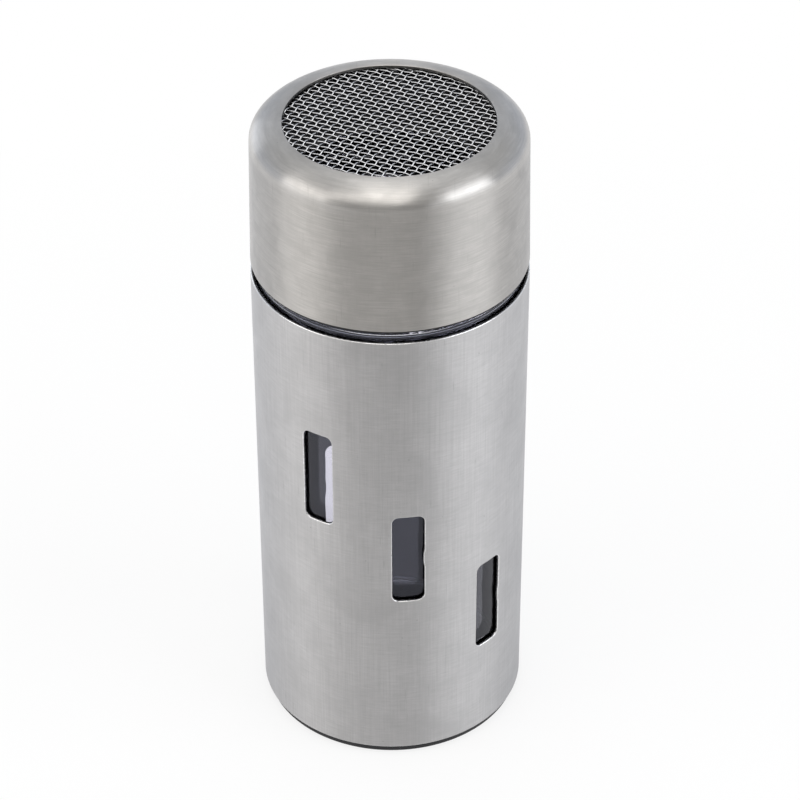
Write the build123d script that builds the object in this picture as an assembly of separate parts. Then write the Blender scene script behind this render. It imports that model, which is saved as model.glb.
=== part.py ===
from build123d import *
import math
import os

# A seasoning shaker: a clear jar in a windowed steel sleeve, under a screw cap with a wire screen.
# Lengths are in millimetres and angles in degrees. The origin is at the middle of the foot,
# +Z points up, and the front of the bottle faces -Y.

os.makedirs("parts", exist_ok=True)

# Outer sleeve, a thin steel tube
sleeve_radius = 25.0
sleeve_wall = 0.5
sleeve_height = 94.05
sleeve_edge_round = 0.3

# Sight windows: a falling row round the front, repeated round the back
window_width = 6.0
window_height = 19.5
window_corner = 1.3
windows_in_row = 3
window_turn = 39.0
window_drop = 16.15
first_window_angle = -31.7
first_window_rise = 62.1
row_count = 2
row_turn = 164.0

# Base plug, which closes the sleeve from below
foot_height = 1.7
foot_inset = 0.2
foot_chamfer = 0.3
foot_ring_width = 4.3
foot_recess_depth = 1.0
plug_rise = 1.5
plug_rim_height = 0.9
plug_rim_width = 1.0
plug_fit = 0.05

# Cushion between the base plug and the jar
cushion_thickness = 0.8
cushion_side_gap = 0.3

# Inner jar
jar_side_gap = 0.3
jar_wall = 3.0
jar_floor = 2.5
jar_heel_round = 3.0
jar_corner_round = 2.5
collar_show = 1.8
collar_round = 0.4
shoulder_thickness = 2.2
shoulder_inner_round = 1.2
neck_wall = 2.0
neck_height = 14.5
neck_foot_round = 0.5
lip_round = 0.4

# Screw thread between the neck and the cap
thread_pitch = 4.0
thread_depth = 1.0
thread_root_width = 2.0
thread_crest_width = 0.9
thread_sink = 0.3
thread_radial_gap = 0.35
thread_flank_gap = 0.25
thread_rise = 3.6
neck_thread_turns = 1.75
liner_thread_turns = 1.25

# Cap shell, drawn from steel sheet
cap_height = 27.5
cap_inset = 0.05
cap_draft = 0.48
cap_wall = 0.5
cap_edge_round = 0.15
cap_shoulder_width = 5.73
cap_shoulder_drop = 3.6
cap_rim_flat = 0.1

# Cap liner, the threaded insert
liner_skirt = 1.62
liner_fit = 0.1
liner_lip_height = 0.35
liner_lip_inset = 0.2
liner_lead_in = 0.4
liner_web = 1.6
shoulder_gap = 0.3

# Seal gasket between the jar's lip and the liner
gasket_thickness = 1.2
gasket_bore_gap = 0.2
gasket_side_gap = 0.3

# Wire screen and the ring that holds its edge
screen_pitch = 1.86
screen_bar = 0.42
screen_thickness = 0.5
screen_angle = 61.5
screen_border = 0.1
screen_seat_gap = 0.05
screen_edge_gap = 0.1
ring_lap = 1.9
ring_base = 0.8
ring_upstand = 0.45

# How far a cutter runs past the wall that it cuts, and how much of a sheet's edge a round may take
cut_overrun = 1.0
round_limit_share = 0.8

# Heights worked out from the sizes above
sleeve_bottom = foot_height
sleeve_top = sleeve_bottom + sleeve_height
plug_floor_top = foot_height + plug_rise
jar_bottom = plug_floor_top + cushion_thickness
jar_shoulder = sleeve_top + collar_show
neck_top = jar_shoulder + neck_height
lip_bottom = jar_shoulder + shoulder_gap
cap_bottom = lip_bottom + liner_lip_height
cap_top = cap_bottom + cap_height
cap_wall_top = cap_top - cap_shoulder_drop
liner_seat = neck_top + gasket_thickness
liner_web_top = liner_seat + liner_web

# The liner's thread hangs under the neck's thread, flank to flank
thread_flank_slope = (thread_root_width - thread_crest_width) / 2 / thread_depth
thread_mesh_height = (thread_root_width + thread_crest_width) / 2 - thread_flank_slope * thread_radial_gap
neck_thread_start = jar_shoulder + thread_rise
liner_thread_start = neck_thread_start - thread_mesh_height - thread_flank_gap

# Radii worked out from the sizes above
sleeve_bore = sleeve_radius - sleeve_wall
foot_radius = sleeve_bore - foot_inset
plug_radius = sleeve_bore - plug_fit
cushion_radius = plug_radius - plug_rim_width - cushion_side_gap
jar_radius = sleeve_bore - jar_side_gap
cap_radius = sleeve_radius - cap_inset
cap_shoulder_radius = cap_radius - cap_draft
shoulder_centre_radius = cap_shoulder_radius - cap_shoulder_width
screen_hole_radius = shoulder_centre_radius - cap_rim_flat
liner_bore = cap_shoulder_radius - cap_wall - liner_fit - liner_skirt
neck_radius = liner_bore - thread_radial_gap - thread_depth
neck_bore = neck_radius - neck_wall
ring_outer_radius = screen_hole_radius + ring_lap
screen_radius = ring_outer_radius - ring_upstand - screen_edge_gap


def shell_inside_radius(height):
    """Radius of the drafted inside wall of the cap shell at a height."""
    travel = (height - cap_bottom) / (cap_wall_top - cap_bottom)
    return cap_radius - cap_draft * travel - cap_wall


def shell_inside_height(radius):
    """Height of the underside of the cap's rounded shoulder at a radius."""
    reach = (radius - shoulder_centre_radius) / (cap_shoulder_width - cap_wall)
    return cap_wall_top + (cap_shoulder_drop - cap_wall) * math.sqrt(1 - reach**2)


screen_top = shell_inside_height(screen_radius) - screen_seat_gap
screen_bottom = screen_top - screen_thickness
ring_top = shell_inside_height(ring_outer_radius) - screen_seat_gap
ring_bottom = screen_bottom - ring_base


def turned(outline):
    """A closed outline in radius and height, turned round the bottle's axis."""
    return revolve(Plane.XZ * make_face(outline), Axis.Z)


def outer_sleeve():
    wall = Polyline(
        (sleeve_bore, sleeve_bottom),
        (sleeve_radius, sleeve_bottom),
        (sleeve_radius, sleeve_top),
        (sleeve_bore, sleeve_top),
        close=True,
    )
    tube = turned(wall)
    lower_edge = tube.edges().group_by(Axis.Z)[0].sort_by(SortBy.RADIUS)[-1]
    tube = fillet(lower_edge, min(sleeve_edge_round, round_limit_share * sleeve_wall))
    return tube - window_cutters()


def window_cutters():
    """One rounded bar for each window, standing out through the wall."""
    outline = RectangleRounded(window_width, window_height, window_corner)
    bar = extrude(Plane.XZ * outline, sleeve_wall + 2 * cut_overrun)
    cutters = []
    for row in range(row_count):
        for place in range(windows_in_row):
            angle = first_window_angle + place * window_turn + row * row_turn
            rise = sleeve_bottom + first_window_rise - place * window_drop
            cutters.append(Rot(Z=angle) * Pos(0, cut_overrun - sleeve_bore, rise) * bar)
    return cutters


def base_plug():
    recess_radius = foot_radius - foot_ring_width
    rim_bore = plug_radius - plug_rim_width
    rim_top = plug_floor_top + plug_rim_height
    outline = Polyline(
        (0, foot_recess_depth),
        (recess_radius, foot_recess_depth),
        (recess_radius, 0),
        (foot_radius - foot_chamfer, 0),
        (foot_radius, foot_chamfer),
        (foot_radius, foot_height),
        (plug_radius, foot_height + foot_inset - plug_fit),
        (plug_radius, rim_top),
        (rim_bore, rim_top),
        (rim_bore, plug_floor_top),
        (0, plug_floor_top),
        close=True,
    )
    return turned(outline)


def jar_cushion():
    return Pos(0, 0, plug_floor_top) * extrude(Circle(cushion_radius), cushion_thickness)


def inner_jar():
    body_bore = jar_radius - jar_wall
    ceiling = jar_shoulder - shoulder_thickness
    corners = [
        ((0, jar_bottom), 0),
        ((jar_radius, jar_bottom), jar_heel_round),
        ((jar_radius, jar_shoulder), collar_round),
        ((neck_radius, jar_shoulder), neck_foot_round),
        ((neck_radius, neck_top), lip_round),
        ((neck_bore, neck_top), lip_round),
        ((neck_bore, ceiling), collar_round),
        ((body_bore, ceiling), shoulder_inner_round),
        ((body_bore, jar_bottom + jar_floor), jar_corner_round),
        ((0, jar_bottom + jar_floor), 0),
    ]
    points = [point for point, _ in corners]
    radii = [radius for _, radius in corners]
    glass = turned(FilletPolyline(*points, radius=radii, close=True))
    return glass + thread(neck_radius, thread_depth, neck_thread_start, neck_thread_turns)


def thread(root_radius, reach, start_height, turns):
    """A right-handed ridge with a trapezoid section. A negative reach points inwards.
    Its flanks run on into the wall, so that the ridge and the wall join cleanly."""
    sink = -math.copysign(thread_sink, reach)
    crest_half = thread_crest_width / 2
    sunk_half = thread_root_width / 2 + thread_flank_slope * thread_sink
    line = Helix(thread_pitch, turns * thread_pitch, root_radius, center=(0, 0, start_height))
    section = Polyline(
        (sink, -sunk_half),
        (reach, -crest_half),
        (reach, crest_half),
        (sink, sunk_half),
        close=True,
    )
    facing = Plane(line @ 0, x_dir=(1, 0, 0), z_dir=-(line % 0))
    return sweep(facing * make_face(section), path=line, is_frenet=True)


def cap_shell():
    """Drafted wall, rounded shoulder and hole, in sheet of one thickness."""
    inner_width = cap_shoulder_width - cap_wall
    inner_drop = cap_shoulder_drop - cap_wall
    centre = (shoulder_centre_radius, cap_wall_top)
    wall_top = (cap_shoulder_radius, cap_wall_top)
    wall_top_inside = (cap_shoulder_radius - cap_wall, cap_wall_top)
    outline = [
        Line((cap_radius, cap_bottom), wall_top),
        EllipticalCenterArc(centre, cap_shoulder_width, cap_shoulder_drop),
        Polyline(
            (shoulder_centre_radius, cap_top),
            (screen_hole_radius, cap_top),
            (screen_hole_radius, cap_top - cap_wall),
            (shoulder_centre_radius, cap_top - cap_wall),
        ),
        EllipticalCenterArc(centre, inner_width, inner_drop),
        Polyline(wall_top_inside, (cap_radius - cap_wall, cap_bottom), (cap_radius, cap_bottom)),
    ]
    shell = turned(outline)
    hole_edge = shell.edges().group_by(Axis.Z)[-1].sort_by(SortBy.RADIUS)[0]
    lower_edge = shell.edges().group_by(Axis.Z)[0].sort_by(SortBy.RADIUS)[-1]
    return fillet([hole_edge, lower_edge], min(cap_edge_round, round_limit_share * cap_wall))


def cap_liner():
    outline = Polyline(
        (liner_bore + liner_lead_in, lip_bottom),
        (cap_radius - liner_lip_inset, lip_bottom),
        (cap_radius - liner_lip_inset, cap_bottom),
        (shell_inside_radius(cap_bottom) - liner_fit, cap_bottom),
        (shell_inside_radius(liner_web_top) - liner_fit, liner_web_top),
        (neck_bore + liner_skirt, liner_web_top),
        (ring_outer_radius, ring_bottom),
        (screen_hole_radius, ring_bottom),
        (neck_bore, liner_web_top),
        (neck_bore, liner_seat),
        (liner_bore, liner_seat),
        (liner_bore, lip_bottom + liner_lead_in),
        close=True,
    )
    return turned(outline) + thread(liner_bore, -thread_depth, liner_thread_start, liner_thread_turns)


def seal_gasket():
    washer = Circle(liner_bore - gasket_side_gap) - Circle(neck_bore + gasket_bore_gap)
    return Pos(0, 0, neck_top) * extrude(washer, gasket_thickness)


def screen_ring():
    outline = Polyline(
        (screen_hole_radius, ring_bottom),
        (ring_outer_radius, ring_bottom),
        (ring_outer_radius, ring_top),
        (ring_outer_radius - ring_upstand, ring_top),
        (ring_outer_radius - ring_upstand, screen_bottom),
        (screen_hole_radius, screen_bottom),
        close=True,
    )
    return turned(outline)


def mesh_screen():
    """A flat net: one disc with a square gap wherever a whole gap fits inside the cap's hole."""
    gap = screen_pitch - screen_bar
    reach = screen_hole_radius - screen_border
    steps = math.ceil(reach / screen_pitch)
    gaps = []
    for column in range(-steps, steps + 1):
        for line in range(-steps, steps + 1):
            x, y = column * screen_pitch, line * screen_pitch
            if math.hypot(abs(x) + gap / 2, abs(y) + gap / 2) < reach:
                gaps.append((Pos(x, y) * Rectangle(gap, gap)).wire())
    net = Circle(screen_radius).face().make_holes(gaps)
    print("gaps in the screen:", len(gaps))
    return Pos(0, 0, screen_bottom) * Rot(Z=screen_angle) * extrude(net, screen_thickness)


pieces = {
    "outer_sleeve": outer_sleeve,
    "inner_jar": inner_jar,
    "base_plug": base_plug,
    "jar_cushion": jar_cushion,
    "cap_shell": cap_shell,
    "cap_liner": cap_liner,
    "seal_gasket": seal_gasket,
    "screen_ring": screen_ring,
    "mesh_screen": mesh_screen,
}
for name, make in pieces.items():
    export_step(make(), f"parts/{name}.step")
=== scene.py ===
import math

import bpy
from bpy.props import FloatProperty, FloatVectorProperty, IntProperty, PointerProperty
from mathutils import Matrix, Vector


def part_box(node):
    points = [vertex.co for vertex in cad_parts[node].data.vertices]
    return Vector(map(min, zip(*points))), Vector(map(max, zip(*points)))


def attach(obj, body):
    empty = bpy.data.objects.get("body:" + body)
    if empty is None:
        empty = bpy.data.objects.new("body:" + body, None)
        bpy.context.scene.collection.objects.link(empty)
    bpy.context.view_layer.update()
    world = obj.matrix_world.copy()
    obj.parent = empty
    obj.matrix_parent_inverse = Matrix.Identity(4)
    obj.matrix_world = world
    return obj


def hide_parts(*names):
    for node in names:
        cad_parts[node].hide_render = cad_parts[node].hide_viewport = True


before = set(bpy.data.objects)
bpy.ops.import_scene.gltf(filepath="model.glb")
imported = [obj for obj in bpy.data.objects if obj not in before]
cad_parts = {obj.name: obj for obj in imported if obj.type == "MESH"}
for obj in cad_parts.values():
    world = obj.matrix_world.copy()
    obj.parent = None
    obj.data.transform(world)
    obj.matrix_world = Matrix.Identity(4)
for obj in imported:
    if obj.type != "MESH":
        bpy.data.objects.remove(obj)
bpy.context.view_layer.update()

# A seasoning shaker in brushed steel. Lengths are in metres, +Z points up, and the front faces -Y.

bl_info = {
    "name": "Seasoning Bottle",
    "version": (1, 0, 0),
    "blender": (4, 5, 0),
    "location": "3D View > Sidebar > Bottle",
    "description": "Dresses a windowed steel seasoning bottle and sets it in a white studio",
    "category": "Object",
}

MM = 0.001
LEVEL = (1, 1, 0)
UPRIGHT = (0, 0, 1)
SLEEVE_LOW, SLEEVE_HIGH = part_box("outer_sleeve")
CUSHION_LOW, CUSHION_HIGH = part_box("jar_cushion")
SCREEN_LOW, SCREEN_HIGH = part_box("mesh_screen")
CAP_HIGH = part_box("cap_shell")[1]


class SleeveSettings(bpy.types.PropertyGroup):
    """Sizes of the steel sleeve that the frame's box doesn't give."""

    wall: FloatProperty(
        name="Wall", description="Thickness of the sleeve's sheet", default=0.5 * MM, unit="LENGTH")
    window_width: FloatProperty(
        name="Window Width", description="Width of a sight window", default=6.0 * MM, unit="LENGTH")
    window_height: FloatProperty(
        name="Window Height", description="Height of a sight window", default=19.5 * MM, unit="LENGTH")
    window_corner: FloatProperty(
        name="Window Corner", description="Corner radius of a window", default=1.3 * MM, unit="LENGTH")
    windows_in_row: IntProperty(
        name="Windows In Row", description="Windows in one falling row", default=3, min=1)
    rows: IntProperty(
        name="Rows", description="Rows of windows round the sleeve", default=2, min=1)
    first_angle: FloatProperty(
        name="First Angle", description="Turn of the highest window from the front",
        default=math.radians(-31.7), subtype="ANGLE")
    first_rise: FloatProperty(
        name="First Rise", description="Height of the highest window's middle over the lower edge",
        default=62.1 * MM, unit="LENGTH")
    window_turn: FloatProperty(
        name="Window Turn", description="Turn from one window to the next",
        default=math.radians(39.0), subtype="ANGLE")
    window_drop: FloatProperty(
        name="Window Drop", description="Drop from one window to the next",
        default=16.15 * MM, unit="LENGTH")
    row_turn: FloatProperty(
        name="Row Turn", description="Turn from the front row to the back row",
        default=math.radians(164.0), subtype="ANGLE")
    cut_round: FloatProperty(
        name="Cut Round", description="Round on the cut edges of the windows and the top",
        default=0.2 * MM, unit="LENGTH")
    inner_round: FloatProperty(
        name="Inner Round", description="Round on the inner edges of the cuts",
        default=0.04 * MM, unit="LENGTH")
    foot_round: FloatProperty(
        name="Foot Round", description="Round on the sleeve's lower edge", default=0.3 * MM, unit="LENGTH")
    tool_mark_depth: FloatProperty(
        name="Tool Mark Depth", description="How far a punch mark stands into a window",
        default=0.2 * MM, unit="LENGTH")
    tool_mark_height: FloatProperty(
        name="Tool Mark Height", description="Height of a punch mark", default=3.6 * MM, unit="LENGTH")
    columns: IntProperty(
        name="Columns", description="Even columns of faces round the sleeve", default=144, min=24)
    lines: IntProperty(
        name="Lines", description="Even lines of faces up the sleeve", default=150, min=24)


class ScreenSettings(bpy.types.PropertyGroup):
    """The woven wire cloth in the cap."""

    wire_diameter: FloatProperty(
        name="Wire Diameter", description="Thickness of a wire", default=0.235 * MM, unit="LENGTH")
    steep_angle: FloatProperty(
        name="Steep Angle", description="Direction of the steep wires from +X",
        default=math.radians(60.5), subtype="ANGLE")
    steep_pitch: FloatProperty(
        name="Steep Pitch", description="Distance between steep wires", default=1.399 * MM, unit="LENGTH")
    steep_offset: FloatProperty(
        name="Steep Offset", description="Distance of a steep wire from the axis",
        default=0.28 * MM, unit="LENGTH")
    flat_angle: FloatProperty(
        name="Flat Angle", description="Direction of the flat wires from +X",
        default=math.radians(-27.2), subtype="ANGLE")
    flat_pitch: FloatProperty(
        name="Flat Pitch", description="Distance between flat wires", default=1.323 * MM, unit="LENGTH")
    flat_offset: FloatProperty(
        name="Flat Offset", description="Distance of a flat wire from the axis",
        default=-0.08 * MM, unit="LENGTH")
    clear_radius: FloatProperty(
        name="Clear Radius", description="Radius of the cap's hole, past which the cloth is pressed flat",
        default=18.64 * MM, unit="LENGTH")
    press_width: FloatProperty(
        name="Press Width", description="Width over which the cloth is pressed flat",
        default=0.4 * MM, unit="LENGTH")
    steep_crimp: FloatProperty(
        name="Steep Crimp", description="How far a steep wire rises and falls",
        default=0.18 * MM, unit="LENGTH")
    flat_crimp: FloatProperty(
        name="Flat Crimp", description="How far a flat wire rises and falls",
        default=0.08 * MM, unit="LENGTH")
    points_per_wave: IntProperty(
        name="Points Per Wave", description="Points along one wave of a wire", default=14, min=6)
    sides: IntProperty(
        name="Sides", description="Sides of a wire's round section", default=10, min=5)


class FinishSettings(bpy.types.PropertyGroup):
    """Colours of the finishes."""

    sleeve_colour: FloatVectorProperty(
        name="Sleeve Colour", description="Steel of the sleeve",
        default=(0.535, 0.528, 0.53), subtype="COLOR")
    cap_colour: FloatVectorProperty(
        name="Cap Colour", description="Steel of the cap", default=(0.5, 0.484, 0.466), subtype="COLOR")
    wire_colour: FloatVectorProperty(
        name="Wire Colour", description="Bright drawn wire", default=(0.66, 0.66, 0.67), subtype="COLOR")
    plastic_colour: FloatVectorProperty(
        name="Plastic Colour", description="Black moulded plastic",
        default=(0.026, 0.026, 0.028), subtype="COLOR")
    # The seal's silicone is pale; this dark grey is painted shade for the seal inside the cap.
    seal_painted_shade_colour: FloatVectorProperty(
        name="Silicone Colour", description="Dark grey silicone of the seal",
        default=(0.1, 0.1, 0.098), subtype="COLOR")
    foam_colour: FloatVectorProperty(
        name="Foam Colour", description="Dark foam under the jar",
        default=(0.03, 0.03, 0.033), subtype="COLOR")
    glass_colour: FloatVectorProperty(
        name="Glass Colour", description="Clear jar", default=(0.84, 0.835, 0.9), subtype="COLOR")


class StudioSettings(bpy.types.PropertyGroup):
    """Camera, lamps and floor."""

    camera_place: FloatVectorProperty(
        name="Camera Place", description="Where the camera stands",
        default=(0.001697, -0.44086, 0.38918), subtype="TRANSLATION")
    camera_pitch: FloatProperty(
        name="Camera Pitch", description="How far the camera looks down",
        default=math.radians(36.285), subtype="ANGLE")
    camera_roll: FloatProperty(
        name="Camera Roll", description="Roll of the camera", default=-0.0029, subtype="ANGLE")
    camera_lens: FloatProperty(
        name="Camera Lens", description="Focal length in millimetres on a 36 mm sensor", default=133.141)
    floor_size: FloatProperty(
        name="Floor Size", description="Side of the white floor", default=12.0, unit="LENGTH")
    floor_front: FloatProperty(
        name="Floor Front", description="Distance from the axis to the floor's front edge",
        default=0.22, unit="LENGTH")
    # Distance at which the floor's glow in metal and glass passes from painted shade near the bottle to
    # painted lamp spill further out.
    floor_lit_from: FloatProperty(
        name="Floor Lit From", description="Distance from the axis round which the floor grows brighter",
        default=0.075, unit="LENGTH")
    floor_glow: FloatProperty(
        name="Floor Glow", description="Share of plain white in the floor round the bottle",
        default=0.8, min=0, max=1)
    lamp_distance: FloatProperty(
        name="Lamp Distance", description="Distance of the lamps from the bottle",
        default=1.0, unit="LENGTH")


def settings(context, name):
    return getattr(context.scene, "bottle_" + name)


def add_node(tree, kind, inputs=None, **values):
    """A new shader node with its settings, and its sockets set to values or linked to other sockets."""
    made = tree.nodes.new(kind)
    for name, value in values.items():
        setattr(made, name, value)
    for name, value in (inputs or {}).items():
        if isinstance(value, bpy.types.NodeSocket):
            tree.links.new(value, made.inputs[name])
        else:
            made.inputs[name].default_value = value
    return made


def math_node(tree, operation, first, second=0.0, third=0.0):
    return add_node(
        tree, "ShaderNodeMath", {0: first, 1: second, 2: third}, operation=operation).outputs[0]


def vector_node(tree, operation, first, second=(0, 0, 0)):
    return add_node(tree, "ShaderNodeVectorMath", {0: first, 1: second}, operation=operation).outputs[0]


def vector_value(tree, operation, first, second=(0, 0, 0)):
    """The number that a length or a dot product gives."""
    made = add_node(tree, "ShaderNodeVectorMath", {0: first, 1: second}, operation=operation)
    return made.outputs["Value"]


def remap(tree, value, low, high, to_low, to_high):
    """A value moved from one range to another, held at both ends."""
    made = add_node(tree, "ShaderNodeMapRange", {"Value": value}, clamp=True)
    for name, number in zip(("From Min", "From Max", "To Min", "To Max"), (low, high, to_low, to_high)):
        made.inputs[name].default_value = number
    return made.outputs["Result"]


def mix_colour(tree, share, first, second):
    made = add_node(tree, "ShaderNodeMix", {"Factor": share}, data_type="RGBA")
    for socket, colour in ((made.inputs[6], first), (made.inputs[7], second)):
        if isinstance(colour, bpy.types.NodeSocket):
            tree.links.new(colour, socket)
        else:
            socket.default_value = colour
    return made.outputs[2]


def rgba(colour, share=1.0):
    return (*(channel * share for channel in colour), 1.0)


def new_group(name, inputs, outputs):
    """An empty shader node group with named number sockets."""
    tree = bpy.data.node_groups.new(name, "ShaderNodeTree")
    for socket, default in inputs.items():
        made = tree.interface.new_socket(socket, in_out="INPUT", socket_type="NodeSocketFloat")
        made.default_value = default
    for socket in outputs:
        tree.interface.new_socket(socket, in_out="OUTPUT", socket_type="NodeSocketFloat")
    return tree, tree.nodes.new("NodeGroupInput").outputs, tree.nodes.new("NodeGroupOutput").inputs


def stretched_grain():
    """Noise drawn out along the wall or round it. Sizes are the length of a grain each way."""
    name = "stretched_grain"
    if name in bpy.data.node_groups:
        return bpy.data.node_groups[name]
    tree, given, out = new_group(
        name, {"Across": 1.0 * MM, "Up": 1.0 * MM, "Detail": 3.0, "Wave": 0.0}, ["Value"])
    place = add_node(tree, "ShaderNodeTexCoord").outputs["Object"]
    wave = add_node(tree, "ShaderNodeTexNoise", {"Vector": place, "Scale": 1 / (9 * MM), "Detail": 1.0})
    lift = math_node(tree, "MULTIPLY", math_node(tree, "SUBTRACT", wave.outputs["Fac"], 0.5), given["Wave"])
    shift = add_node(tree, "ShaderNodeCombineXYZ", {"Z": lift})
    moved = vector_node(tree, "ADD", place, shift.outputs[0])
    size = add_node(
        tree, "ShaderNodeCombineXYZ", {"X": given["Across"], "Y": given["Across"], "Z": given["Up"]})
    scaled = vector_node(tree, "DIVIDE", moved, size.outputs[0])
    noise = add_node(
        tree, "ShaderNodeTexNoise",
        {"Vector": scaled, "Scale": 1.0, "Detail": given["Detail"], "Roughness": 0.6})
    tree.links.new(noise.outputs["Fac"], out["Value"])
    return tree


def handling_marks():
    """Smudges left by hands, fine stray scratches and sparse specks, each from 0 to 1."""
    name = "handling_marks"
    if name in bpy.data.node_groups:
        return bpy.data.node_groups[name]
    tree, given, out = new_group(
        name, {"Smudge Size": 9 * MM, "Speck Size": 2.4 * MM}, ["Smudge", "Scratch", "Speck"])
    place = add_node(tree, "ShaderNodeTexCoord").outputs["Object"]
    smudge = add_node(
        tree, "ShaderNodeTexNoise",
        {"Vector": place, "Scale": math_node(tree, "DIVIDE", 1.0, given["Smudge Size"]),
         "Detail": 4.0, "Roughness": 0.55, "Distortion": 0.6})
    tree.links.new(remap(tree, smudge.outputs["Fac"], 0.38, 0.72, 0.0, 1.0), out["Smudge"])
    speck = add_node(
        tree, "ShaderNodeTexVoronoi",
        {"Vector": place, "Scale": math_node(tree, "DIVIDE", 1.0, given["Speck Size"])}, feature="F1")
    rare = add_node(
        tree, "ShaderNodeTexWhiteNoise", {"Vector": speck.outputs["Position"]}, noise_dimensions="3D")
    few = math_node(tree, "GREATER_THAN", rare.outputs["Value"], 0.8)
    dot = remap(tree, speck.outputs["Distance"], 0.03, 0.075, 1.0, 0.0)
    tree.links.new(math_node(tree, "MULTIPLY", dot, few), out["Speck"])
    turned = add_node(tree, "ShaderNodeMapping", {"Vector": place}, vector_type="POINT")
    turned.inputs["Rotation"].default_value = (0.4, 0.9, 0.3)
    turned.inputs["Scale"].default_value = (1 / (0.25 * MM), 1 / (11 * MM), 1 / (5 * MM))
    line = add_node(
        tree, "ShaderNodeTexNoise",
        {"Vector": turned.outputs[0], "Scale": 1.0, "Detail": 1.0, "Distortion": 0.3})
    tree.links.new(remap(tree, line.outputs["Fac"], 0.7, 0.78, 0.0, 1.0), out["Scratch"])
    return tree


def fine_grain():
    """The even, fine grain of a moulded or foamed surface."""
    name = "fine_grain"
    if name in bpy.data.node_groups:
        return bpy.data.node_groups[name]
    tree, given, out = new_group(name, {"Grain Size": 0.25 * MM, "Cloud Size": 6 * MM}, ["Height", "Cloud"])
    place = add_node(tree, "ShaderNodeTexCoord").outputs["Object"]
    for size, socket, detail in (("Grain Size", "Height", 3.0), ("Cloud Size", "Cloud", 2.0)):
        noise = add_node(
            tree, "ShaderNodeTexNoise",
            {"Vector": place, "Scale": math_node(tree, "DIVIDE", 1.0, given[size]), "Detail": detail})
        tree.links.new(noise.outputs["Fac"], out[socket])
    return tree


def use_group(tree, group, inputs=None):
    made = tree.nodes.new("ShaderNodeGroup")
    made.node_tree = group
    for name, value in (inputs or {}).items():
        made.inputs[name].default_value = value
    return made.outputs


def new_material(name, **sockets):
    """A material with its Principled shader's plain sockets set."""
    material = bpy.data.materials.new(name)
    material.use_nodes = True
    shader = material.node_tree.nodes["Principled BSDF"]
    for socket, value in sockets.items():
        shader.inputs[socket.replace("_", " ")].default_value = value
    return material, material.node_tree, shader


def bump(tree, height, distance, normal=None):
    made = add_node(tree, "ShaderNodeBump", {"Height": height, "Distance": distance, "Strength": 1.0})
    if normal is not None:
        tree.links.new(normal, made.inputs["Normal"])
    return made.outputs["Normal"]


def turned_normal(tree):
    """The normal of a turned piece, with no crease at its seam.

    It points straight out from the axis, or in to it, with the tilt of the surface. Where a corner
    normal of a sliver facet points far off the facet, it is the facet's own normal.
    """
    place = add_node(tree, "ShaderNodeTexCoord").outputs
    outward = vector_node(tree, "NORMALIZE", vector_node(tree, "MULTIPLY", place["Object"], LEVEL))
    side = vector_value(tree, "DOT_PRODUCT", place["Normal"], outward)
    spread = add_node(tree, "ShaderNodeVectorMath", {0: outward, "Scale": side}, operation="SCALE").outputs[0]
    tilt = vector_node(tree, "MULTIPLY", place["Normal"], UPRIGHT)
    even = add_node(
        tree, "ShaderNodeVectorTransform", {0: vector_node(tree, "ADD", spread, tilt)},
        vector_type="NORMAL", convert_from="OBJECT", convert_to="WORLD").outputs[0]
    surface = add_node(tree, "ShaderNodeNewGeometry").outputs
    agreement = vector_value(tree, "DOT_PRODUCT", surface["Normal"], surface["True Normal"])
    least_agreement = 0.995
    astray = math_node(tree, "LESS_THAN", agreement, least_agreement)
    mixed = add_node(tree, "ShaderNodeMix", {0: astray}, data_type="VECTOR")
    tree.links.new(even, mixed.inputs[4])
    tree.links.new(surface["True Normal"], mixed.inputs[5])
    return mixed.outputs[1]


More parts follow.
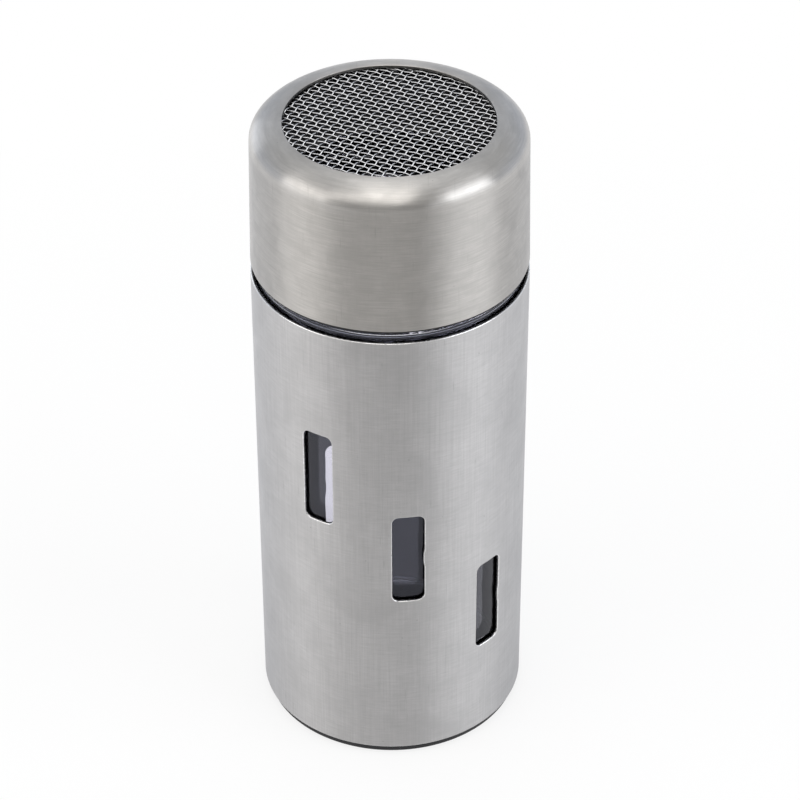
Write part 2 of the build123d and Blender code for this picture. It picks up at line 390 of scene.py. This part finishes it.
def brushed_steel(
        name, colour, brush_up, brush_across, drag, roughness, anisotropy, wave,
        smooth_above=None, painted_shade_within=0.0, smudge_size=9 * MM, speck_size=2.4 * MM):
    """Sheet steel, brushed round the axis, with faint drag lines up it and marks of use.

    Where smooth_above is given as two heights and a roughness, the steel grows smoother between them.
    Nearer to the axis than painted_shade_within, the colour is darkened to 0.3 of the steel as painted shade
    on the sheet's back and cut faces.
    """
    material, tree, shader = new_material(
        name, Metallic=1.0, Anisotropic=anisotropy, Anisotropic_Rotation=0.25)
    brush_sizes = {"Across": brush_across, "Up": brush_up, "Detail": 4.0, "Wave": wave}
    brush = use_group(tree, stretched_grain(), brush_sizes)["Value"]
    drag_sizes = {"Across": 0.28 * MM, "Up": 14 * MM, "Detail": 2.0}
    drags = use_group(tree, stretched_grain(), drag_sizes)["Value"]
    marks = use_group(tree, handling_marks(), {"Smudge Size": smudge_size, "Speck Size": speck_size})
    lines = math_node(
        tree, "ADD", math_node(tree, "MULTIPLY", brush, 1.0 - drag),
        math_node(tree, "MULTIPLY", drags, drag))
    tone = remap(tree, lines, 0.3, 0.7, 0.0, 1.0)
    worn = mix_colour(tree, tone, rgba(colour, 0.85), rgba(colour, 1.12))
    for mark, strength, shade in (("Smudge", 0.5, 0.86), ("Scratch", 0.4, 0.7), ("Speck", 0.5, 0.45)):
        share = math_node(tree, "MULTIPLY", marks[mark], strength)
        worn = mix_colour(tree, share, worn, rgba(colour, shade))
    place = add_node(tree, "ShaderNodeTexCoord").outputs["Object"]
    reach = vector_value(tree, "LENGTH", vector_node(tree, "MULTIPLY", place, LEVEL))
    # Painted shade: inside this radius the steel colour is darkened, standing for the shade on the sheet's
    # back and cut faces.
    inside = math_node(tree, "LESS_THAN", reach, painted_shade_within)
    cut = add_node(tree, "ShaderNodeAttribute", attribute_name="cut_edge").outputs["Fac"]
    ragged = use_group(tree, fine_grain(), {"Grain Size": 0.4 * MM})["Height"]
    bare = math_node(tree, "MULTIPLY", cut, remap(tree, ragged, 0.35, 0.6, 0.4, 1.0))
    bare_colour, painted_shade_share = (0.82, 0.82, 0.82, 1), 0.3
    worn = mix_colour(tree, bare, worn, bare_colour)
    tree.links.new(mix_colour(tree, inside, worn, rgba(colour, painted_shade_share)), shader.inputs["Base Color"])
    base, relief = roughness, lines
    if smooth_above:
        start, end, smooth = smooth_above
        height = add_node(tree, "ShaderNodeSeparateXYZ", {0: place}).outputs["Z"]
        base = remap(tree, height, start, end, roughness, smooth)
        relief = math_node(tree, "MULTIPLY", lines, remap(tree, height, start, end, 1.0, 0.0))
    rough = math_node(tree, "MULTIPLY_ADD", tone, 0.06, base)
    rough = math_node(tree, "MULTIPLY_ADD", marks["Smudge"], 0.05, rough)
    polish = math_node(tree, "MULTIPLY_ADD", bare, -0.75, 1.0)
    tree.links.new(math_node(tree, "MULTIPLY", rough, polish), shader.inputs["Roughness"])
    normal = turned_normal(tree) if smooth_above else None
    tree.links.new(bump(tree, relief, 0.012 * MM, normal), shader.inputs["Normal"])
    tangent = add_node(tree, "ShaderNodeTangent", direction_type="RADIAL", axis="Z")
    tree.links.new(tangent.outputs[0], shader.inputs["Tangent"])
    return material


def wire_steel(name, colour):
    material, tree, shader = new_material(name, Metallic=1.0)
    grain = use_group(tree, fine_grain(), {"Grain Size": 0.12 * MM, "Cloud Size": 5 * MM})
    cloudy = mix_colour(tree, grain["Cloud"], rgba(colour, 0.85), rgba(colour, 1.1))
    tree.links.new(cloudy, shader.inputs["Base Color"])
    tree.links.new(remap(tree, grain["Height"], 0.3, 0.7, 0.12, 0.24), shader.inputs["Roughness"])
    tree.links.new(bump(tree, grain["Height"], 0.006 * MM), shader.inputs["Normal"])
    return material


def clear_glass(colour):
    material, tree, shader = new_material(
        "clear_glass", Base_Color=rgba(colour), Transmission_Weight=1.0, IOR=1.5,
        Specular_Tint=(0.76, 0.78, 0.95, 1))
    marks = use_group(tree, handling_marks(), {"Smudge Size": 12 * MM, "Speck Size": 3 * MM})
    tree.links.new(remap(tree, marks["Smudge"], 0.0, 1.0, 0.0, 0.03), shader.inputs["Roughness"])
    ripple = use_group(tree, stretched_grain(), {"Across": 14 * MM, "Up": 10 * MM, "Detail": 0.0})["Value"]
    tree.links.new(bump(tree, ripple, 0.06 * MM), shader.inputs["Normal"])
    return material


def black_plastic(colour):
    material, tree, shader = new_material("black_plastic", IOR=1.5, Specular_IOR_Level=0.25)
    grain = use_group(tree, fine_grain(), {"Grain Size": 0.2 * MM, "Cloud Size": 7 * MM})
    marks = use_group(tree, handling_marks(), {"Smudge Size": 6 * MM, "Speck Size": 1.6 * MM})
    cloudy = mix_colour(tree, grain["Cloud"], rgba(colour, 0.7), rgba(colour, 1.4))
    dust = math_node(tree, "MULTIPLY", marks["Speck"], 0.25)
    dust_colour = (0.3, 0.3, 0.3, 1)
    dusty = mix_colour(tree, dust, cloudy, dust_colour)
    tree.links.new(dusty, shader.inputs["Base Color"])
    tree.links.new(remap(tree, marks["Smudge"], 0.0, 1.0, 0.34, 0.5), shader.inputs["Roughness"])
    tree.links.new(bump(tree, grain["Height"], 0.01 * MM), shader.inputs["Normal"])
    return material


# Silicone of the seal, painted dark grey as the shade it sits in inside the cap.
def painted_shade_silicone(colour):
    material, tree, shader = new_material("painted_shade_silicone", IOR=1.41, Subsurface_Weight=0.3)
    shader.inputs["Subsurface Radius"].default_value = (1.0, 1.0, 0.9)
    shader.inputs["Subsurface Scale"].default_value = 1.0 * MM
    grain = use_group(tree, fine_grain(), {"Grain Size": 0.3 * MM, "Cloud Size": 5 * MM})
    cloudy = mix_colour(tree, grain["Cloud"], rgba(colour, 0.93), rgba(colour, 1.04))
    tree.links.new(cloudy, shader.inputs["Base Color"])
    tree.links.new(remap(tree, grain["Height"], 0.3, 0.7, 0.45, 0.6), shader.inputs["Roughness"])
    tree.links.new(bump(tree, grain["Height"], 0.012 * MM), shader.inputs["Normal"])
    return material


def dark_foam(colour):
    material, tree, shader = new_material("dark_foam", Sheen_Weight=0.15)
    grain = use_group(tree, fine_grain(), {"Grain Size": 0.35 * MM, "Cloud Size": 4 * MM})
    pores = remap(tree, grain["Height"], 0.35, 0.6, 0.0, 1.0)
    # Painted shade: the foam is darkened to 0.45 of its colour in its pores, beside their bump.
    pore_shaded_colour = mix_colour(tree, pores, rgba(colour, 0.45), rgba(colour, 1.3))
    tree.links.new(pore_shaded_colour, shader.inputs["Base Color"])
    tree.links.new(remap(tree, grain["Cloud"], 0.3, 0.7, 0.8, 0.95), shader.inputs["Roughness"])
    tree.links.new(bump(tree, pores, 0.08 * MM), shader.inputs["Normal"])
    return material


def give(name, material):
    """Sets the one material of a CAD node."""
    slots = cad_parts[name].data.materials
    slots.clear()
    slots.append(material)


def new_piece(name, points, faces, normals=None, cut_edge=None):
    """A smooth mesh object from points and faces, with normals and cut edges where they are given."""
    mesh = bpy.data.meshes.new(name)
    mesh.from_pydata(points, [], faces)
    mesh.validate()
    mesh.polygons.foreach_set("use_smooth", [True] * len(mesh.polygons))
    if normals:
        mesh.normals_split_custom_set_from_vertices(normals)
    if cut_edge:
        mesh.attributes.new("cut_edge", "FLOAT", "POINT").data.foreach_set("value", cut_edge)
    piece = bpy.data.objects.new(name, mesh)
    bpy.context.scene.collection.objects.link(piece)
    return piece


def around(angle, height, radius):
    """A point at an angle from the front, a height and a distance from the axis."""
    return Vector((radius * math.sin(angle), -radius * math.cos(angle), height))


def even_lines(start, stop, count, exact, blocks):
    """Evenly spaced lines with the exact ones among them, and none inside a window's corner."""
    step = (stop - start) / count
    even = [start + step * k for k in range(count)]
    kept = [
        line for line in even
        if all(abs(line - edge) > step / 3 for edge in exact)
        and not any(low < line < high for low, high in blocks)
    ]
    return sorted(kept + exact)


class SleeveWall:
    """The sleeve's wall, unrolled into arc length and height, with its windows left open."""

    def __init__(self, sizes):
        self.sizes = sizes
        self.radius = SLEEVE_HIGH.x
        self.start = -self.radius * math.pi / 2
        self.length = 2 * math.pi * self.radius
        self.bottom = SLEEVE_LOW.z + sizes.foot_round
        self.top = SLEEVE_HIGH.z - sizes.cut_round
        self.half_width = sizes.window_width / 2 + sizes.cut_round
        self.half_height = sizes.window_height / 2 + sizes.cut_round
        self.corner = sizes.window_corner + sizes.cut_round
        self.windows = self.window_middles()
        self.points, self.faces = [], []
        self.fill()

    def window_middles(self):
        """Arc and height of each window's middle, and whether the punch left a mark there."""
        s = self.sizes
        found = []
        for row in range(s.rows):
            for place in range(s.windows_in_row):
                angle = s.first_angle + place * s.window_turn + row * s.row_turn
                arc = (angle * self.radius - self.start) % self.length + self.start
                rise = SLEEVE_LOW.z + s.first_rise - place * s.window_drop
                found.append((arc, rise, place > 0))
        return found

    def lines(self, axis, half, start, stop, count):
        exact, blocks = [], []
        for window in self.windows:
            for side in (-1, 1):
                edge = window[axis] + side * half
                inner = edge - side * self.corner
                if not any(math.isclose(edge, line) for line in exact):
                    exact += [edge, inner]
                    blocks.append((min(edge, inner), max(edge, inner)))
        return even_lines(start, stop, count, exact, blocks)

    def window_at(self, arc, height):
        for window in self.windows:
            if abs(arc - window[0]) < self.half_width and abs(height - window[1]) < self.half_height:
                return window
        return None

    def fill(self):
        s = self.sizes
        arcs = self.lines(0, self.half_width, self.start, self.start + self.length, s.columns)
        heights = self.lines(1, self.half_height, self.bottom, self.top, s.lines) + [self.top]
        grid = {}

        def corner_point(column, line):
            key = (column % len(arcs), line)
            if key not in grid:
                grid[key] = len(self.points)
                self.points.append((arcs[key[0]], heights[line]))
            return grid[key]

        for column, arc in enumerate(arcs):
            after = arcs[(column + 1) % len(arcs)]
            middle_arc = arc + ((after - arc) % self.length) / 2
            for line in range(len(heights) - 1):
                middle_height = (heights[line] + heights[line + 1]) / 2
                window = self.window_at(middle_arc, middle_height)
                right, up = column + 1, line + 1
                if window is None:
                    self.faces.append((
                        corner_point(column, line), corner_point(right, line),
                        corner_point(right, up), corner_point(column, up)))
                    continue
                side = math.copysign(1, middle_arc - window[0])
                level = math.copysign(1, middle_height - window[1])
                if (abs(middle_arc - window[0]) > self.half_width - self.corner
                        and abs(middle_height - window[1]) > self.half_height - self.corner):
                    outer, inner = (right, column) if side > 0 else (column, right)
                    far, near = (up, line) if level > 0 else (line, up)
                    self.round_corner(
                        window, side, level, corner_point(outer, far),
                        corner_point(outer, near), corner_point(inner, far))

    def round_corner(self, window, side, level, tip, first, last, steps=6):
        """A fan of faces between a window's rounded corner and the square corner round it."""
        middle = (
            window[0] + side * (self.half_width - self.corner),
            window[1] + level * (self.half_height - self.corner))
        row = [first]
        for step in range(1, steps):
            turn = math.pi / 2 * step / steps
            row.append(len(self.points))
            self.points.append((
                middle[0] + side * self.corner * math.cos(turn),
                middle[1] + level * self.corner * math.sin(turn)))
        row.append(last)
        for a, b in zip(row, row[1:]):
            self.faces.append((tip, b, a) if side * level > 0 else (tip, a, b))

    def into_opening(self, arc, height):
        """Unit step from a point on an edge into the opening, the edge's round, and its punch mark."""
        s = self.sizes
        if math.isclose(height, self.top):
            return (0, 1), s.cut_round, 0
        if math.isclose(height, self.bottom):
            return (0, -1), s.foot_round, 0
        window = min(self.windows, key=lambda w: math.hypot(arc - w[0], height - w[1]))
        across, up = arc - window[0], height - window[1]
        over = max(0, abs(across) - self.half_width + self.corner)
        above = max(0, abs(up) - self.half_height + self.corner)
        reach = math.hypot(over, above)
        step = (-math.copysign(over / reach, across), -math.copysign(above / reach, up))
        share = abs(up) / (s.tool_mark_height / 2)
        marked = window[2] and across > 0 and share < 1
        mark = s.tool_mark_depth * (1 - share**4) if marked else 0
        return step, s.cut_round, mark

    def solid(self):
        """Points, faces, normals and cut edges of the whole wall: outside, rounded cuts, inside."""
        s = self.sizes
        uses = {}
        for face in self.faces:
            for a, b in zip(face, face[1:] + face[:1]):
                uses.setdefault(frozenset((a, b)), []).append((a, b))
        rims = [found[0] for found in uses.values() if len(found) == 1]
        edge = {k: self.into_opening(*self.points[k]) for rim in rims for k in rim}
        points, normals, cut_edge = [], [], []

        def add(k, into, depth, turn):
            arc, height = self.points[k]
            step, _, mark = edge.get(k, ((0, 0), 0, 0))
            angle = (arc + step[0] * (into + mark)) / self.radius
            out = around(angle, 0, 1)
            aside = Vector((math.cos(angle), math.sin(angle), 0)) * step[0] + Vector((0, 0, step[1]))
            points.append(around(angle, height + step[1] * (into + mark), self.radius - depth))
            normals.append((math.cos(turn) * out + math.sin(turn) * aside).normalized())
            cut_edge.append(float(0 < turn < math.pi))
            return len(points) - 1

        outside = {k: add(k, 0, 0, 0) for k in range(len(self.points))}
        faces = [tuple(outside[k] for k in face) for face in self.faces]
        rings = [{k: outside[k] for k in edge}]
        quarter = math.pi / 2
        for turn in (quarter / 3, 2 * quarter / 3, quarter):
            rings.append({
                k: add(k, edge[k][1] * math.sin(turn), edge[k][1] * (1 - math.cos(turn)), turn)
                for k in edge})
        for turn in (quarter, 1.5 * quarter):
            rings.append({
                k: add(
                    k, edge[k][1] - s.inner_round * (1 + math.cos(turn)) + s.inner_round,
                    s.wall - s.inner_round + s.inner_round * math.sin(turn - quarter), turn)
                for k in edge})
        inside = {
            k: add(k, edge[k][1] - s.inner_round if k in edge else 0, s.wall, 2 * quarter)
            for k in range(len(self.points))}
        rings.append({k: inside[k] for k in edge})
        faces += [tuple(inside[k] for k in reversed(face)) for face in self.faces]
        for outer, inner in zip(rings, rings[1:]):
            faces += [(outer[b], outer[a], inner[a], inner[b]) for a, b in rims]
        return points, faces, normals, cut_edge


class BOTTLE_OT_wrap_sleeve(bpy.types.Operator):
    """Makes the steel sleeve with its rounded cuts and brushed finish"""

    bl_idname = "bottle.wrap_sleeve"
    bl_label = "Wrap Sleeve"

    def execute(self, context):
        finish = settings(context, "finish")
        sleeve = new_piece("steel_sleeve", *SleeveWall(settings(context, "sleeve")).solid())
        sleeve.data.materials.append(brushed_steel(
            "sleeve_steel", finish.sleeve_colour, brush_up=0.22 * MM, brush_across=3 * MM,
            drag=0.45, roughness=0.535, anisotropy=0.745, wave=0.2 * MM,
            # Painted shade on the inner half of the sleeve's sheet and its cut faces.
            painted_shade_within=SLEEVE_HIGH.x - settings(context, "sleeve").wall / 2))
        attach(sleeve, "bottle")
        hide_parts("outer_sleeve")
        return {"FINISHED"}


class BOTTLE_OT_finish_cap(bpy.types.Operator):
    """Gives the cap's shell its brushed steel, with painted shade on the hole's cut face, and the screen's
    ring the wire steel darkened as painted shade
    """

    bl_idname = "bottle.finish_cap"
    bl_label = "Finish Cap"

    def execute(self, context):
        finish = settings(context, "finish")
        give("cap_shell", brushed_steel(
            "cap_steel", finish.cap_colour, brush_up=0.2 * MM, brush_across=6 * MM,
            drag=0.12, roughness=0.45, anisotropy=0.93, wave=0.5 * MM,
            smooth_above=(CAP_HIGH.z - 4.5 * MM, CAP_HIGH.z - 2.5 * MM, 0.28),
            smudge_size=3.5 * MM, speck_size=1.8 * MM,
            # Painted shade on the cut face of the cap's hole.
            painted_shade_within=settings(context, "screen").clear_radius + 0.04 * MM))
        # Painted shade: the ring is the wire steel at 0.3 of its colour, for the shade under the hole's rim.
        shaded = [0.3 * channel for channel in finish.wire_colour]
        give("screen_ring", wire_steel("ring_painted_shade_steel", shaded))
        return {"FINISHED"}


class BOTTLE_OT_weave_screen(bpy.types.Operator):
    """Weaves the wire screen, over and under, in the cap's hole"""

    bl_idname = "bottle.weave_screen"
    bl_label = "Weave Screen"

    def execute(self, context):
        s = settings(context, "screen")
        steep = (s.steep_angle, s.steep_pitch, s.steep_offset)
        flat = (s.flat_angle, s.flat_pitch, s.flat_offset)
        points, faces = [], []
        for own, other, crimp in ((steep, flat, s.steep_crimp), (flat, steep, -s.flat_crimp)):
            self.lay_wires(s, own, other, crimp, points, faces)
        screen = new_piece("woven_screen", points, faces)
        screen.data.materials.append(wire_steel("wire_steel", settings(context, "finish").wire_colour))
        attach(screen, "cap")
        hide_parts("mesh_screen")
        return {"FINISHED"}

    def lay_wires(self, s, own, other, crimp, points, faces):
        """All wires of one direction. They rise where the count of both wires is even, or the reverse."""
        middle = SCREEN_LOW.z + s.steep_crimp + s.wire_diameter / 2
        angle, pitch, offset = own
        along = Vector((math.cos(angle), math.sin(angle), 0))
        aside = self.aside(own)
        across = self.aside(other)
        reach = SCREEN_HIGH.x - s.wire_diameter / 2
        count = math.ceil(reach / pitch)
        outermost_share, fewest_steps = 0.985, 8
        for number in range(-count, count + 1):
            away = offset + number * pitch
            if abs(away) > outermost_share * reach:
                continue
            half = math.sqrt(reach**2 - away**2)
            steps = max(fewest_steps, math.ceil(half / other[1] * s.points_per_wave))
            rings = []
            for step in range(steps + 1):
                run = half * (2 * step / steps - 1)
                flat_point = aside * away + along * run
                phase = math.pi * ((flat_point.dot(across) - other[2]) / other[1] + number)
                pressed = min(max((flat_point.length - s.clear_radius) / s.press_width, 0), 1)
                wave = crimp * (1 - pressed)
                slope = -wave * math.sin(phase) * math.pi / other[1] * along.dot(across)
                up = Vector((-along.x * slope, -along.y * slope, 1)).normalized()
                rise = middle - s.steep_crimp * pressed + wave * math.cos(phase)
                centre = flat_point + Vector((0, 0, rise))
                rings.append(self.ring(centre, aside, up, s, points))
            self.join(rings, faces)

    def aside(self, wires):
        """Level direction square to a set of wires, along which their places are counted."""
        turn = wires[0] - math.pi / 2 if wires[0] > 0 else wires[0] + math.pi / 2
        return Vector((math.cos(turn), math.sin(turn), 0))

    def ring(self, centre, aside, up, s, points):
        first = len(points)
        for side in range(s.sides):
            turn = 2 * math.pi * side / s.sides
            points.append(centre + (aside * math.cos(turn) + up * math.sin(turn)) * s.wire_diameter / 2)
        return list(range(first, first + s.sides))

    def join(self, rings, faces):
        for before, after in zip(rings, rings[1:]):
            for k in range(len(before)):
                n = (k + 1) % len(before)
                faces.append((before[k], before[n], after[n], after[k]))
        faces.append(tuple(reversed(rings[0])))
        faces.append(tuple(rings[-1]))


class BOTTLE_OT_finish_jar(bpy.types.Operator):
    """Gives the jar its clear glass"""

    bl_idname = "bottle.finish_jar"
    bl_label = "Finish Jar"

    def execute(self, context):
        give("inner_jar", clear_glass(settings(context, "finish").glass_colour))
        return {"FINISHED"}


class BOTTLE_OT_finish_moulded(bpy.types.Operator):
    """Gives the base, the cap's liner and the seal their moulded finishes"""

    bl_idname = "bottle.finish_moulded"
    bl_label = "Finish Moulded Pieces"

    def execute(self, context):
        finish = settings(context, "finish")
        plastic = black_plastic(finish.plastic_colour)
        give("base_plug", plastic)
        give("cap_liner", plastic)
        # The seal's dark grey is painted shade.
        give("seal_gasket", painted_shade_silicone(finish.seal_painted_shade_colour))
        return {"FINISHED"}


class BOTTLE_OT_lay_cushion(bpy.types.Operator):
    """Makes the foam disc that the jar stands on"""

    bl_idname = "bottle.lay_cushion"
    bl_label = "Lay Cushion"

    def execute(self, context):
        low, high, radius = CUSHION_LOW.z, CUSHION_HIGH.z, CUSHION_HIGH.x
        half = (high - low) / 2
        sides, bulge_steps, shares = 96, 8, (0.0, 0.35, 0.7, 0.93)
        least_reach = 1e-6
        profile = [(radius * share, low) for share in shares]
        for step in range(bulge_steps + 1):
            turn = math.pi * (step / bulge_steps - 0.5)
            profile.append((radius - half + half * math.cos(turn), low + half + half * math.sin(turn)))
        profile += [(radius * share, high) for share in reversed(shares)]
        points = [
            around(2 * math.pi * side / sides, height, max(reach, least_reach))
            for reach, height in profile for side in range(sides)]
        faces = [
            (row * sides + side, row * sides + (side + 1) % sides,
             (row + 1) * sides + (side + 1) % sides, (row + 1) * sides + side)
            for row in range(len(profile) - 1) for side in range(sides)]
        cushion = new_piece("foam_cushion", points, faces)
        cushion.data.materials.append(dark_foam(settings(context, "finish").foam_colour))
        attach(cushion, "bottle")
        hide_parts("jar_cushion")
        return {"FINISHED"}


class BOTTLE_OT_set_studio(bpy.types.Operator):
    """Sets the white floor, the soft lamps, the surroundings and the camera"""

    bl_idname = "bottle.set_studio"
    bl_label = "Set Studio"

    def execute(self, context):
        s = settings(context, "studio")
        self.lay_floor(s)
        self.set_world(context)
        self.hang_lamps(s)
        self.place_camera(context, s)
        context.scene.view_settings.view_transform = "Standard"
        return {"FINISHED"}

    def seen(self, tree):
        """Two marks: 1 for what the camera sees straight, and 1 for what it sees in metal and glass."""
        path = add_node(tree, "ShaderNodeLightPath").outputs
        mirrored = math_node(tree, "MAXIMUM", path["Is Glossy Ray"], path["Is Transmission Ray"])
        return path["Is Camera Ray"], mirrored

    def lay_floor(self, s):
        """White paper that ends in front of the bottle. Metal and glass see its glow painted: dimmer near the
        bottle as painted shade, brighter than white further out as painted lamp spill.
        """
        half = s.floor_size / 2
        front = -s.floor_front
        corners = [(-half, front, 0), (half, front, 0), (half, half, 0), (-half, half, 0)]
        floor = new_piece("floor", corners, [(0, 1, 2, 3)])
        material, tree, shader = new_material("white_floor", Roughness=0.9)
        shader.inputs["Base Color"].default_value = (0.86, 0.86, 0.86, 1)
        place = add_node(tree, "ShaderNodeTexCoord").outputs["Object"]
        away = vector_value(tree, "LENGTH", place)
        # Painted light: the glow that metal and glass see is 0.88 near the bottle as painted shade and 1.22
        # further out as painted lamp spill.
        painted_shade_level, painted_spill_level = 0.88, 1.22
        painted_reflected_glow = remap(tree, away, s.floor_lit_from / 2, 2 * s.floor_lit_from, painted_shade_level, painted_spill_level)
        camera, mirrored = self.seen(tree)
        strength = math_node(tree, "MAXIMUM", camera, math_node(tree, "MULTIPLY", mirrored, painted_reflected_glow))
        glow = add_node(tree, "ShaderNodeEmission", {"Color": (1, 1, 1, 1), "Strength": strength})
        plain = remap(tree, away, s.floor_lit_from, s.floor_front, s.floor_glow, 1.0)
        share = math_node(tree, "MULTIPLY", math_node(tree, "MAXIMUM", camera, mirrored), plain)
        mixed = add_node(
            tree, "ShaderNodeMixShader", {0: share, 1: shader.outputs[0], 2: glow.outputs[0]})
        tree.links.new(mixed.outputs[0], tree.nodes["Material Output"].inputs["Surface"])
        floor.data.materials.append(material)

    def set_world(self, context):
        world = bpy.data.worlds.new("studio_air")
        context.scene.world = world
        world.use_nodes = True
        tree = world.node_tree
        path = add_node(tree, "ShaderNodeLightPath").outputs
        direction = add_node(tree, "ShaderNodeTexCoord").outputs["Generated"]
        parts = add_node(tree, "ShaderNodeSeparateXYZ", {0: direction}).outputs
        backward, rise = parts["Y"], math_node(tree, "ABSOLUTE", parts["Z"])
        low_back, high_back = (0.67, 0.73, 0.84, 1), (0.69, 0.7, 0.71, 1)
        front, dark_front, white = (0.56, 0.557, 0.55, 1), (0.21, 0.21, 0.21, 1), (1, 1, 1, 1)
        back = mix_colour(tree, remap(tree, rise, 0.2, 0.6, 0.0, 1.0), low_back, high_back)
        room = mix_colour(tree, remap(tree, backward, -0.3, 0.3, 0.0, 1.0), front, back)
        ahead = remap(tree, backward, -0.85, -0.65, 1.0, 0.0)
        dark = math_node(tree, "MULTIPLY", ahead, remap(tree, rise, 0.2, 0.5, 1.0, 0.0))
        room = mix_colour(tree, dark, room, dark_front)
        colour = mix_colour(tree, path["Is Camera Ray"], room, white)
        tree.links.new(colour, tree.nodes["Background"].inputs["Color"])

    def hang_lamps(self, s):
        """Soft lamps and cards, each with its direction, its spread in degrees, and its brightness."""
        target = Vector((0, 0, 0.06))
        least_width_share = 0.5
        warm, plain, cool = (1, 0.98, 0.95), (1, 0.995, 0.99), (0.94, 0.965, 1)
        lamps = (
            ("left_softbox", -72, 35, 46, 25, 1.75, warm),
            ("left_card", -70, 10, 40, 25, 1.05, plain),
            ("right_softbox", 68, 35, 44, 25, 3.3, cool),
            ("right_card", 58, 10, 56, 25, 0.95, cool),
            ("back_left_card", -140, 10, 24, 25, 0.9, cool),
            ("front_top_softbox", -20, 62, 76, 25, 1.7, warm),
            ("overhead_softbox", 0, 86, 40, 22, 2.0, warm),
            ("back_top_softbox", 180, 62, 40, 25, 0.95, plain),
        )
        for name, azimuth, elevation, spread, tall, brightness, colour in lamps:
            rise = math.radians(elevation)
            lamp = bpy.data.lights.new(name, "AREA")
            lamp.shape = "RECTANGLE"
            width_share = max(math.cos(rise), least_width_share)
            lamp.size = 2 * s.lamp_distance * width_share * math.tan(math.radians(spread / 2))
            lamp.size_y = 2 * s.lamp_distance * math.tan(math.radians(tall / 2))
            lamp.energy = math.pi * lamp.size * lamp.size_y * brightness
            lamp.color = colour
            holder = bpy.data.objects.new(name, lamp)
            holder.location = target + around(
                math.radians(azimuth), s.lamp_distance * math.sin(rise), s.lamp_distance * math.cos(rise))
            holder.rotation_euler = (target - holder.location).to_track_quat("-Z", "Y").to_euler()
            holder.visible_camera = False
            bpy.context.scene.collection.objects.link(holder)

    def place_camera(self, context, s):
        lens = bpy.data.cameras.new("photo_view")
        lens.sensor_width, lens.lens = 36.0, s.camera_lens
        lens.clip_start, lens.clip_end = 0.01, 100.0
        camera = bpy.data.objects.new("photo_view", lens)
        tilt = Matrix.Rotation(math.pi / 2 - s.camera_pitch, 4, "X")
        roll = Matrix.Rotation(s.camera_roll, 4, "Z")
        camera.matrix_world = Matrix.Translation(Vector(s.camera_place)) @ tilt @ roll
        context.scene.collection.objects.link(camera)
        context.scene.camera = camera


class BOTTLE_PT_panel(bpy.types.Panel):
    """Lists the steps and the sizes of the bottle"""

    bl_label = "Seasoning Bottle"
    bl_idname = "BOTTLE_PT_panel"
    bl_space_type = "VIEW_3D"
    bl_region_type = "UI"
    bl_category = "Bottle"

    def draw(self, context):
        for step in STEPS:
            self.layout.operator(step.bl_idname)
        for name, group in SETTINGS.items():
            box = self.layout.box()
            for key in group.__annotations__:
                box.prop(settings(context, name), key)


SETTINGS = {
    "sleeve": SleeveSettings,
    "screen": ScreenSettings,
    "finish": FinishSettings,
    "studio": StudioSettings,
}
STEPS = (
    BOTTLE_OT_wrap_sleeve,
    BOTTLE_OT_finish_cap,
    BOTTLE_OT_weave_screen,
    BOTTLE_OT_finish_jar,
    BOTTLE_OT_finish_moulded,
    BOTTLE_OT_lay_cushion,
    BOTTLE_OT_set_studio,
)


def register():
    for made in (*SETTINGS.values(), *STEPS, BOTTLE_PT_panel):
        bpy.utils.register_class(made)
    for name, group in SETTINGS.items():
        setattr(bpy.types.Scene, "bottle_" + name, PointerProperty(type=group))


def unregister():
    for name in SETTINGS:
        delattr(bpy.types.Scene, "bottle_" + name)
    for made in reversed((*SETTINGS.values(), *STEPS, BOTTLE_PT_panel)):
        bpy.utils.unregister_class(made)


def main():
    register()
    bpy.ops.bottle.wrap_sleeve()
    bpy.ops.bottle.finish_cap()
    bpy.ops.bottle.weave_screen()
    bpy.ops.bottle.finish_jar()
    bpy.ops.bottle.finish_moulded()
    bpy.ops.bottle.lay_cushion()
    bpy.ops.bottle.set_studio()


if __name__ == "__main__":
    main()
